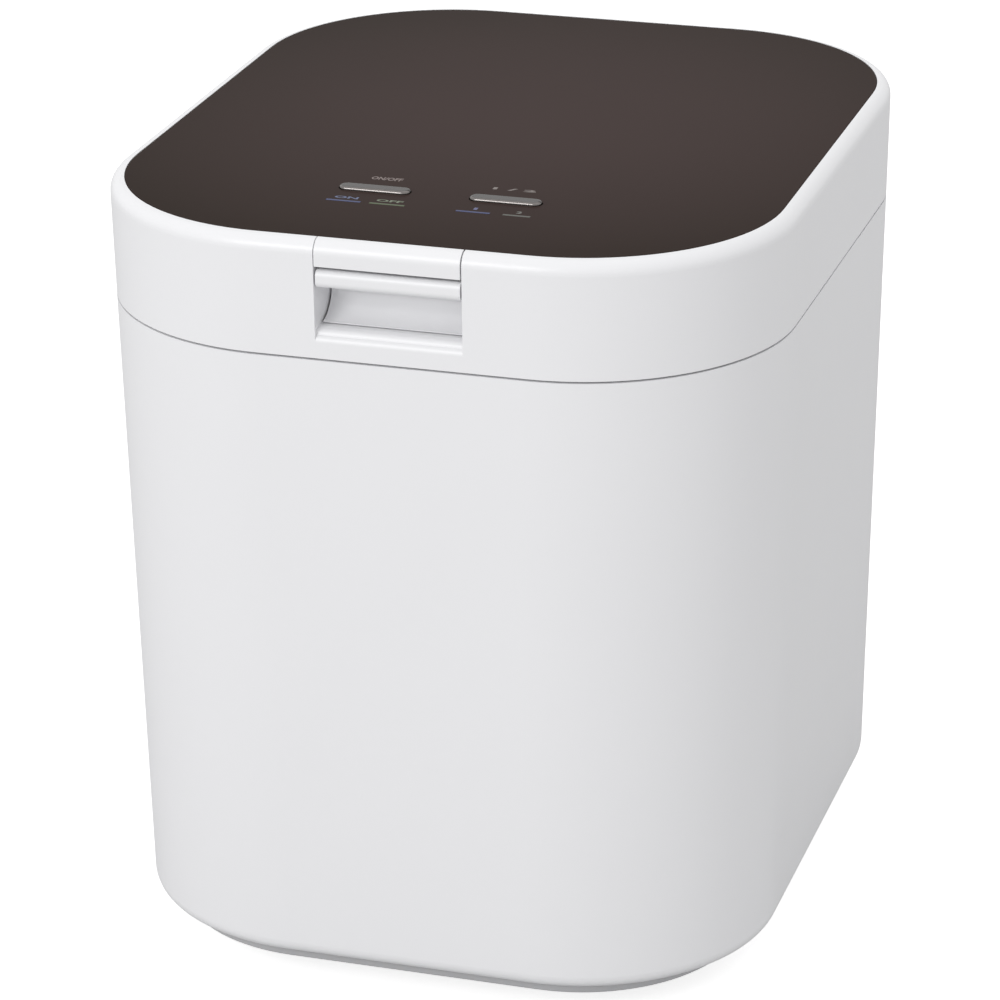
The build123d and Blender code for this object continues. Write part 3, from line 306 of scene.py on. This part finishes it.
# ---------------------------------------------------------------- top deck
# A flat light grey moulding that closes the body inside its upper edge and carries the chamber's
# rim. Eight screws hold it down and two more hold the strike leaf at the front.
liner_plastic = moulded("liner_plastic", tone(188, 189, 190), 0.48, grain=0.000012,
                        grain_scale=1300)
dress(liner_plastic, "top_deck", "lid_liner", "exhaust_duct")

DECK_SCREWS = [(-107, -40), (107, -40), (-107, 50), (107, 50), (-30, -127.6), (30, -127.6),
               (-58, 125.7), (58, 125.7)]
STRIKE_SCREWS = [(-15.5, -113.6), (15.5, -113.6)]
DECK_SCREW_Z, STRIKE_Z = 230.7, 230.8
deck_screws = bmesh.new()
for x, y in DECK_SCREWS:
    add_screw(deck_screws, (x, y, DECK_SCREW_Z), DOWN, head=2.8, head_height=1.2, shank=1.3, length=14)
for x, y in STRIKE_SCREWS:
    add_screw(deck_screws, (x, y, STRIKE_Z), DOWN, head=2.6, head_height=0.5, shank=1.2, length=3)
new_piece("deck_cross_screws", deck_screws, zinc, "housing", "zinc", "deck_screws")

# The strike is a leaf of spring steel. The latch's hook snaps under its front edge.
spring_steel = metal("spring_steel", tone(150, 152, 156), 0.3, stretch=(0.05, 1, 1))
dress(spring_steel, "latch_strike")

# ---------------------------------------------------------------- drying chamber
# A deep-drawn aluminium tub hangs by its rolled flange in the top deck's opening. Drawing leaves
# upright streaks on its wall.
drawn_aluminium = metal("drawn_aluminium", tone(214, 215, 217), 0.36, stretch=(1, 1, 0.04),
                        scratch=0.000004, scratch_scale=700)
dress(drawn_aluminium, "drying_chamber")

# ---------------------------------------------------------------- basket and its bail
# A dark grey slotted basket, moulded in heat-resistant plastic, that lifts out by a wire bail with
# a soft black grip.
basket_plastic = moulded("basket_plastic", tone(86, 87, 89), 0.46, grain=0.00002, grain_scale=1100)
dress(basket_plastic, "basket")
bright_steel = metal("bright_steel", tone(205, 205, 203), 0.24)
dress(bright_steel, "basket_handle", "hinge_pin", "latch_pin", "fan_shaft", "chamber_sensor")
grip_plastic = moulded("grip_plastic", tone(38, 38, 39), 0.58, grain=0.00003, grain_scale=800)
dress(grip_plastic, "handle_grip")

# ---------------------------------------------------------------- hinge
# Two knuckles of pressed steel are screwed to the shell's back wall from inside. The lid's barrel
# turns between them on one steel pin.
pressed_steel = metal("pressed_steel", tone(176, 177, 176), 0.4)
dress(pressed_steel, "hinge_bracket", "heater_brackets")

HINGE_SCREWS = [(-39, 126.8, 214), (39, 126.8, 214)]
hinge_screws = bmesh.new()
for place in HINGE_SCREWS:
    add_screw(hinge_screws, place, REARWARD, head=2.8, head_height=1.6, shank=1.3, length=5.2)
new_piece("hinge_cross_screws", hinge_screws, zinc, "housing", "zinc", "hinge_screws")

# ---------------------------------------------------------------- exhaust fan and carbon filters
# A 60 mm fan draws moist air from the chamber through a duct and blows it through two cassettes of
# bonded carbon granules at the back. Frame and rotor are black glass-filled plastic.
black_plastic = moulded("black_plastic", tone(40, 41, 43), 0.42, grain=0.000012)
dress(black_plastic, "exhaust_fan_frame", "exhaust_fan_rotor", "cord_gland", "lid_sensor",
      "tact_switches")

carbon = Finish("bonded_carbon")
grains = Value(carbon, carbon.node("ShaderNodeTexVoronoi", None,
                                   {"Vector": carbon.place, "Scale": 520}).outputs["Distance"])
dress(carbon.surface(Base_Color=carbon.mix(grains, tone(20, 20, 21), tone(48, 47, 46)),
                     Roughness=grains * 0.3 + 0.6, Normal=carbon.bump(1 - grains, 0.0008)),
      "carbon_block_left", "carbon_block_right")

# ---------------------------------------------------------------- power electronics
# A green glass-fibre board on four pillars carries a transformer, two relays, three capacitors, a
# folded heat sink and a ceramic terminal block.
board = Finish("circuit_board")
crossing_lines = (board.waves("X", 330, 1.5) > 0.78) + (board.waves("Y", 260, 1.5) > 0.82)
tracks = crossing_lines * (board.noise(70) > 0.47)
dress(board.surface(Base_Color=board.mix(tracks, tone(28, 92, 52), tone(58, 128, 74)),
                    Roughness=0.34 - 0.08 * tracks, Normal=board.bump(tracks, 0.00004)),
      "power_board", "control_board")

# The capacitors stand to the right of the relays, and only their tops are bare aluminium.
CAPACITORS_FROM_X = -0.018
cans = Finish("relays_and_capacitors")
tops = (cans.facing("Z") > 0.9) * (cans.along("X") > CAPACITORS_FROM_X)
dress(cans.surface(Base_Color=cans.mix(tops, tone(34, 36, 44), tone(190, 191, 192)), Metallic=tops,
                   Roughness=0.42 - 0.1 * tops, Normal=cans.bump(cans.noise(900), 0.000008)),
      "board_components")

# The transformer's core is a stack of iron sheets, and its amber winding stands out at both ends.
CORE_Y, CORE_HALF = 0.038, 0.0181
core = Finish("laminated_core")
winding = (core.along("Y") - CORE_Y).maths("ABSOLUTE") > CORE_HALF
sheets = core.waves("X", 900)
iron = core.mix(sheets, tone(70, 66, 62), tone(112, 106, 98))
dress(core.surface(Base_Color=core.mix(winding, iron, tone(176, 134, 42)),
                   Metallic=0.6 - 0.6 * winding, Roughness=0.46 + 0.1 * sheets,
                   Normal=core.bump(sheets, 0.00008)), "transformer")

folded_aluminium = metal("folded_aluminium", tone(206, 207, 209), 0.42, stretch=(1, 1, 0.08))
dress(folded_aluminium, "heat_sink")
ceramic = moulded("ceramic", tone(226, 220, 206), 0.38, grain=0.00001, grain_scale=1500)
dress(ceramic, "terminal_block", "indicator_lamps")

sleeving = Finish("woven_sleeving")
weave = sleeving.waves("DIAGONAL", 900) * 0.5 + sleeving.waves("Z", 1100) * 0.5
sleeve = sleeving.surface(Base_Color=sleeving.mix(weave, tone(24, 24, 25), tone(62, 62, 64)),
                          Roughness=0.66 - 0.1 * weave, Normal=sleeving.bump(weave, 0.00012))
dress(sleeve, "wire_loom_body", "wire_loom_lid")

# ---------------------------------------------------------------- top panel
# A sheet of dark brown gloss plastic lies flush in the lid's rim. Its back is printed, so its colour
# looks deep, and its gloss is soft.
# A soft reflection is painted into its colour: lighter round the middle, darker towards the edges.
PANEL, PANEL_SHADED_EDGE = tone(65, 53, 51), tone(46, 37, 32)
PANEL_X, PANEL_Y, EDGE_GROWTH = 0.008, 0.003, 42
panel = Finish("panel_plastic")
aside, behind = panel.along("X") - PANEL_X, panel.along("Y") - PANEL_Y
# Painted reflection: this share darkens the colour away from the middle of the panel.
reflection_falloff = (aside * aside + behind * behind) * EDGE_GROWTH
print_tone = panel.mix(panel.noise(9, 2), shade(PANEL, 0.96), shade(PANEL, 1.06))
dress(panel.surface(Base_Color=panel.mix(reflection_falloff, print_tone, PANEL_SHADED_EDGE),
                    Roughness=panel.noise(30, 2) * 0.06 + 0.14, Specular_IOR_Level=0.005,
                    Normal=panel.bump(panel.noise(1500, 2), 0.000001)), "top_panel")

# Two silvered push bars stand a little proud of the panel, one for power and one for the mode.
# Their rounded front edges are painted lighter: a painted highlight.
silver = Finish("silvered_plastic")
haze = silver.noise(500, 3, (1, 6, 6))
# Painted highlight: surfaces that face the front take a lighter colour than the rest of the bar.
front_edge = silver.facing("Y") * -1 > 0.2
painted_edge_highlight = silver.mix(front_edge, tone(53, 49, 48), tone(128, 124, 122))
dress(silver.surface(Base_Color=silver.mix(haze * 0.3, painted_edge_highlight, tone(96, 91, 89)), Metallic=1.0,
                     Roughness=haze * 0.08 + 0.2, Normal=silver.bump(haze, 0.000001)),
      "power_button", "mode_button")


# Four light pipes show as coloured lines in front of the bars.
def lit_window(name, colour, glow):
    """Tinted clear plastic over a small lamp: a slightly cloudy tint with a faint glow."""
    finish = Finish(name)
    cloud = finish.noise(300, 2)
    tint = finish.mix(cloud, shade(colour, 0.75), colour)
    return finish.surface(Base_Color=tint, Roughness=cloud * 0.1 + 0.2, Specular_IOR_Level=0.1,
                          Emission_Color=tint, Emission_Strength=glow)


dress(lit_window("blue_window", tone(50, 58, 98), 0.25), "indicator_window_blue")
dress(lit_window("green_window", tone(72, 84, 54), 0.15), "indicator_window_green")
dress(lit_window("grey_window", tone(84, 84, 78), 0.05), "indicator_window_grey")


PRINT_Z = 270.03


def printed(name, words, x, y, width, height, colour):
    """Words printed on the panel, fitted to a width and a cap height and centred on a point."""
    writing = bpy.data.curves.new(name, "FONT")
    writing.body = words
    writing.size = 1.0
    writing.resolution_u = 3
    writing.offset = 0.03
    holder = bpy.data.objects.new(name, writing)
    scene.collection.objects.link(holder)
    bpy.context.view_layer.update()
    mesh = bpy.data.meshes.new_from_object(holder)
    bpy.data.objects.remove(holder)
    across, upward = [v.co.x for v in mesh.vertices], [v.co.y for v in mesh.vertices]
    low_x, high_x = min(across), max(across)
    low_y, high_y = min(upward), max(upward)
    for vertex in mesh.vertices:
        share_x = (vertex.co.x - low_x) / (high_x - low_x) - 0.5
        share_y = (vertex.co.y - low_y) / (high_y - low_y) - 0.5
        vertex.co = Vector((x + width * share_x, y + height * share_y, PRINT_Z)) * MM
    finish = Finish(name)
    ink = finish.noise(2000, 2)
    mesh.materials.append(finish.surface(Base_Color=finish.mix(ink, shade(colour, 0.9), colour),
                                         Roughness=ink * 0.1 + 0.4))
    piece = bpy.data.objects.new(name, mesh)
    scene.collection.objects.link(piece)
    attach(piece, "lid")


# Plain words and numbers are printed behind the bars and beside their coloured lines.
printed("print_power", "ON/OFF", -21.4, -69.6, 10.6, 3.0, tone(118, 102, 98))
printed("print_mode", "1 / 2", 22.0, -69.6, 14.6, 2.2, tone(118, 108, 104))
printed("print_on", "ON", -28.0, -91.2, 8.0, 2.1, tone(84, 96, 132))
printed("print_off", "OFF", -13.3, -91.2, 9.0, 2.1, tone(104, 114, 92))
printed("print_one", "1", 15.5, -91.2, 1.2, 2.1, tone(88, 90, 132))
printed("print_two", "2", 30.0, -91.2, 1.9, 2.1, tone(108, 108, 102))


# ---------------------------------------------------------------- latch spring
# A torsion spring wound from one steel wire sits round the latch pin. One leg presses on the lid
# and one lifts the lever.
def wire_along(shape, route, radius, sides=10):
    """A round wire along a list of points in millimetres."""
    rings, side = [], Vector((1, 0, 0))
    for i, point in enumerate(route):
        ahead = (route[min(i + 1, len(route) - 1)] - route[max(i - 1, 0)]).normalized()
        side = (side - ahead * side.dot(ahead)).normalized()
        other = ahead.cross(side)
        turns = [2 * pi * k / sides for k in range(sides)]
        spokes = [(side * cos(turn) + other * sin(turn)) * radius for turn in turns]
        rings.append([shape.verts.new((point + spoke) * MM) for spoke in spokes])
    for first, second in zip(rings, rings[1:]):
        bridge(shape, first, second)
    shape.faces.new(rings[0])
    shape.faces.new(rings[-1])


LATCH_Y, LATCH_Z = -122.0, 262.0
WIRE, COIL_RADIUS, COIL_HALF = 0.45, 2.2, 2.6
LID_LEG_Z, LEVER_LEG, LEVER_LEG_Z = 265.3, 7.6, 261.7
TURNS, POINTS_A_TURN = 6.5, 20
COIL_STEPS = round(TURNS * POINTS_A_TURN)
coil = [Vector((-COIL_HALF, LATCH_Y + COIL_RADIUS, LID_LEG_Z))]
for step in range(COIL_STEPS + 1):
    angle = -2 * pi * step / POINTS_A_TURN
    coil.append(Vector((-COIL_HALF + 2 * COIL_HALF * step / COIL_STEPS,
                        LATCH_Y + COIL_RADIUS * cos(angle), LATCH_Z + COIL_RADIUS * sin(angle))))
coil.append(Vector((COIL_HALF, LATCH_Y - LEVER_LEG, LEVER_LEG_Z)))
spring = bmesh.new()
wire_along(spring, coil, WIRE)
new_piece("torsion_spring", spring, spring_steel, "lid", "steel", "latch_spring", smooth=60)

# ---------------------------------------------------------------- lid liner and gasket
# The liner closes the lid from below. A soft grey silicone ring in its groove lands on the
# chamber's flange, and a small magnet over the liner trips the sensor under the deck.
silicone = moulded("grey_silicone", tone(104, 106, 110), 0.62, grain=0.000015, grain_scale=1500)
dress(silicone, "lid_gasket")
magnet = metal("nickel_magnet", tone(184, 182, 176), 0.22)
dress(magnet, "lid_magnet")

# The lid's screws hold the liner, the control board and the grille, whose three stand in a ring.
LID_SCREWS = [(-98, -30), (98, -30), (-98, 60), (98, 60), (-50, -118), (50, -118)]
BOARD_SCREWS = [(-42, -102), (42, -102), (-42, -61), (42, -61)]
FAN_Y, GRILLE_SCREW_RING = -18, 69.2
GRILLE_SCREWS = [(GRILLE_SCREW_RING * cos(turn), FAN_Y + GRILLE_SCREW_RING * sin(turn))
                 for turn in (radians(-150), radians(-30), radians(45))]
LID_SCREW_Z, BOARD_Z, GRILLE_Z = 230.3, 255.6, 231.2
lid_screws = bmesh.new()
for x, y in LID_SCREWS:
    add_screw(lid_screws, (x, y, LID_SCREW_Z), UP, head=2.8, head_height=0.9, shank=1.3, length=12)
for x, y in BOARD_SCREWS:
    add_screw(lid_screws, (x, y, BOARD_Z), UP, head=2.4, head_height=1.4, shank=1.1, length=6)
for x, y in GRILLE_SCREWS:
    add_screw(lid_screws, (x, y, GRILLE_Z), UP, head=2.4, head_height=1.0, shank=1.2, length=1.2)
new_piece("lid_cross_screws", lid_screws, zinc, "lid", "zinc", "lid_screws")

# ---------------------------------------------------------------- circulation fan and heater
# A spun aluminium dish in the lid holds a sheathed heater ring round a radial fan, behind a punched
# aluminium grille. The sheath has darkened to bronze with heat.
spun_aluminium = metal("spun_aluminium", tone(206, 207, 208), 0.4, scratch=0.000003)
dress(spun_aluminium, "fan_dish", "air_grille")

sheath = Finish("heater_sheath")
heat = sheath.noise(36, 3)
bronze = sheath.mix(heat, tone(86, 74, 66), tone(132, 118, 102))
dress(sheath.surface(Base_Color=bronze, Metallic=1.0, Roughness=heat * 0.2 + 0.4,
                     Normal=sheath.bump(sheath.noise(1200), 0.00001)), "heater_ring")
dress(zinc, "fan_motor")
dress(pressed_steel, "thermal_cutouts")

# The impeller's blades curve back round the hub, under one flat disc. The hub narrows downwards.
BORE, HUB_TOP, HUB_FOOT, DISC, DISC_SIDES = 2.02, 7.5, 7.0, 55, 72
HUB_Z, DISC_LOW, DISC_HIGH = 238.5, 248.2, 249.0
BLADES, BLADE_STEPS, HALF_THICKNESS = 11, 8, 0.5
BLADE_FROM, BLADE_LENGTH, BLADE_START, BLADE_SWEEP = 27.5, 24.5, 6, 21
BLADE_LOW, BLADE_HIGH, INNER_CUT = 239.0, 248.3, 0.9
impeller = bmesh.new()
profile = ((BORE, DISC_HIGH), (DISC, DISC_HIGH), (DISC, DISC_LOW), (HUB_TOP, DISC_LOW),
           (HUB_FOOT, HUB_Z), (BORE, HUB_Z))
rings = [ring_of(impeller, radius, height, DISC_SIDES) for radius, height in profile]
for first, second in zip(rings, rings[1:] + rings[:1]):
    bridge(impeller, first, second)
for blade in range(BLADES):
    sections = []
    for step in range(BLADE_STEPS + 1):
        share = step / BLADE_STEPS
        radius = BLADE_FROM + BLADE_LENGTH * share
        angle = 2 * pi * blade / BLADES + radians(BLADE_START + BLADE_SWEEP * share ** 1.2)
        out = Vector((cos(angle), sin(angle), 0))
        round_about = Vector((-sin(angle), cos(angle), 0))
        run = out * 0.45 + round_about * 0.9
        lean = run.cross(Vector(UP)).normalized() * HALF_THICKNESS
        low = BLADE_LOW + INNER_CUT * (1 - share) ** 3
        corners = ((-1, low), (1, low), (1, BLADE_HIGH), (-1, BLADE_HIGH))
        sections.append([impeller.verts.new(out * radius + lean * side + Vector((0, 0, height)))
                         for side, height in corners])
    for first, second in zip(sections, sections[1:]):
        bridge(impeller, first, second)
    impeller.faces.new(sections[0])
    impeller.faces.new(sections[-1])
to_fan = Matrix.Scale(MM, 4) @ Matrix.Translation((0, FAN_Y, 0))
bmesh.ops.transform(impeller, matrix=to_fan, verts=impeller.verts)
new_piece("curved_impeller", impeller, spun_aluminium, "circulation_fan", "aluminium",
          "fan_impeller")

# ---------------------------------------------------------------- loom across the hinge
# The lid's wires cross beside the hinge in a short woven sleeve. It runs from the deck's hole to
# the liner's.
LOOM_X, LOOM_Y, LOOM_LOW, LOOM_HIGH = 66.0, 117.0, 226.6, 233.0
LOOM_RADIUS, LOOM_SIDES, LOOM_STEPS = 2.5, 20, 28
rise = LOOM_HIGH - LOOM_LOW
heights = [LOOM_LOW + rise * step / LOOM_STEPS for step in range(LOOM_STEPS + 1)]
crossing = bmesh.new()
wire_along(crossing, [Vector((LOOM_X, LOOM_Y, height)) for height in heights], LOOM_RADIUS,
           LOOM_SIDES)
hinge_sleeve = new_piece("hinge_sleeve", crossing, sleeve, None, "wire_cover", "hinge_loom",
                         smooth=60)
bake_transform(hinge_sleeve)

# ---------------------------------------------------------------- light and room
# Soft studio light: an even pale sky, a large key lamp at the front left and a weaker lamp
# overhead, over a pale floor that shows as white and keeps the object's shadow.
BLACK, WHITE = (0, 0, 0, 1), (1, 1, 1, 1)
SKY = 0.88
scene.world = bpy.data.worlds.new("studio")
sky = Finish("studio", scene.world)
rays = sky.node("ShaderNodeLightPath").outputs
seen = Value(sky, rays["Is Camera Ray"])
for kind in ("Is Glossy Ray", "Is Transmission Ray"):
    seen = seen.maths("MAXIMUM", rays[kind])
strength = sky.node("ShaderNodeMapRange", None, {"Value": seen, "To Min": SKY}).outputs[0]
glow = sky.node("ShaderNodeBackground", None, {"Color": WHITE, "Strength": strength})
sky.node("ShaderNodeOutputWorld", None, {"Surface": glow.outputs[0]})

FLOOR, FLOOR_SHOWN, FLOOR_HALF = 0.6, 0.78, 6
floor_finish = Finish("floor")
camera_ray = floor_finish.node("ShaderNodeLightPath").outputs["Is Camera Ray"]
floor_mesh = bpy.data.meshes.new("floor")
corners = [(x * FLOOR_HALF, y * FLOOR_HALF, 0) for x, y in ((-1, -1), (1, -1), (1, 1), (-1, 1))]
floor_mesh.from_pydata(corners, [], [(0, 1, 2, 3)])
floor_mesh.materials.append(floor_finish.surface(
    Base_Color=(FLOOR, FLOOR, FLOOR, 1), Roughness=0.9, Specular_IOR_Level=0.0,
    Emission_Color=floor_finish.mix(camera_ray, BLACK, WHITE), Emission_Strength=FLOOR_SHOWN))
floor = bpy.data.objects.new("floor", floor_mesh)
scene.collection.objects.link(floor)


def lamp(name, place, aim, size, power):
    """A square area lamp aimed at a point."""
    data = bpy.data.lights.new(name, "AREA")
    data.size, data.energy = size, power
    holder = bpy.data.objects.new(name, data)
    holder.location = place
    holder.rotation_euler = (Vector(aim) - Vector(place)).to_track_quat("-Z", "Y").to_euler()
    scene.collection.objects.link(holder)


lamp("key", (-0.86, -2.24, 1.45), (0, 0, 0.14), 1.0, 19.0)
lamp("top", (0.5, 0.4, 2.2), (0, 0, 0.2), 1.4, 1.5)

scene.view_settings.view_transform = "Standard"
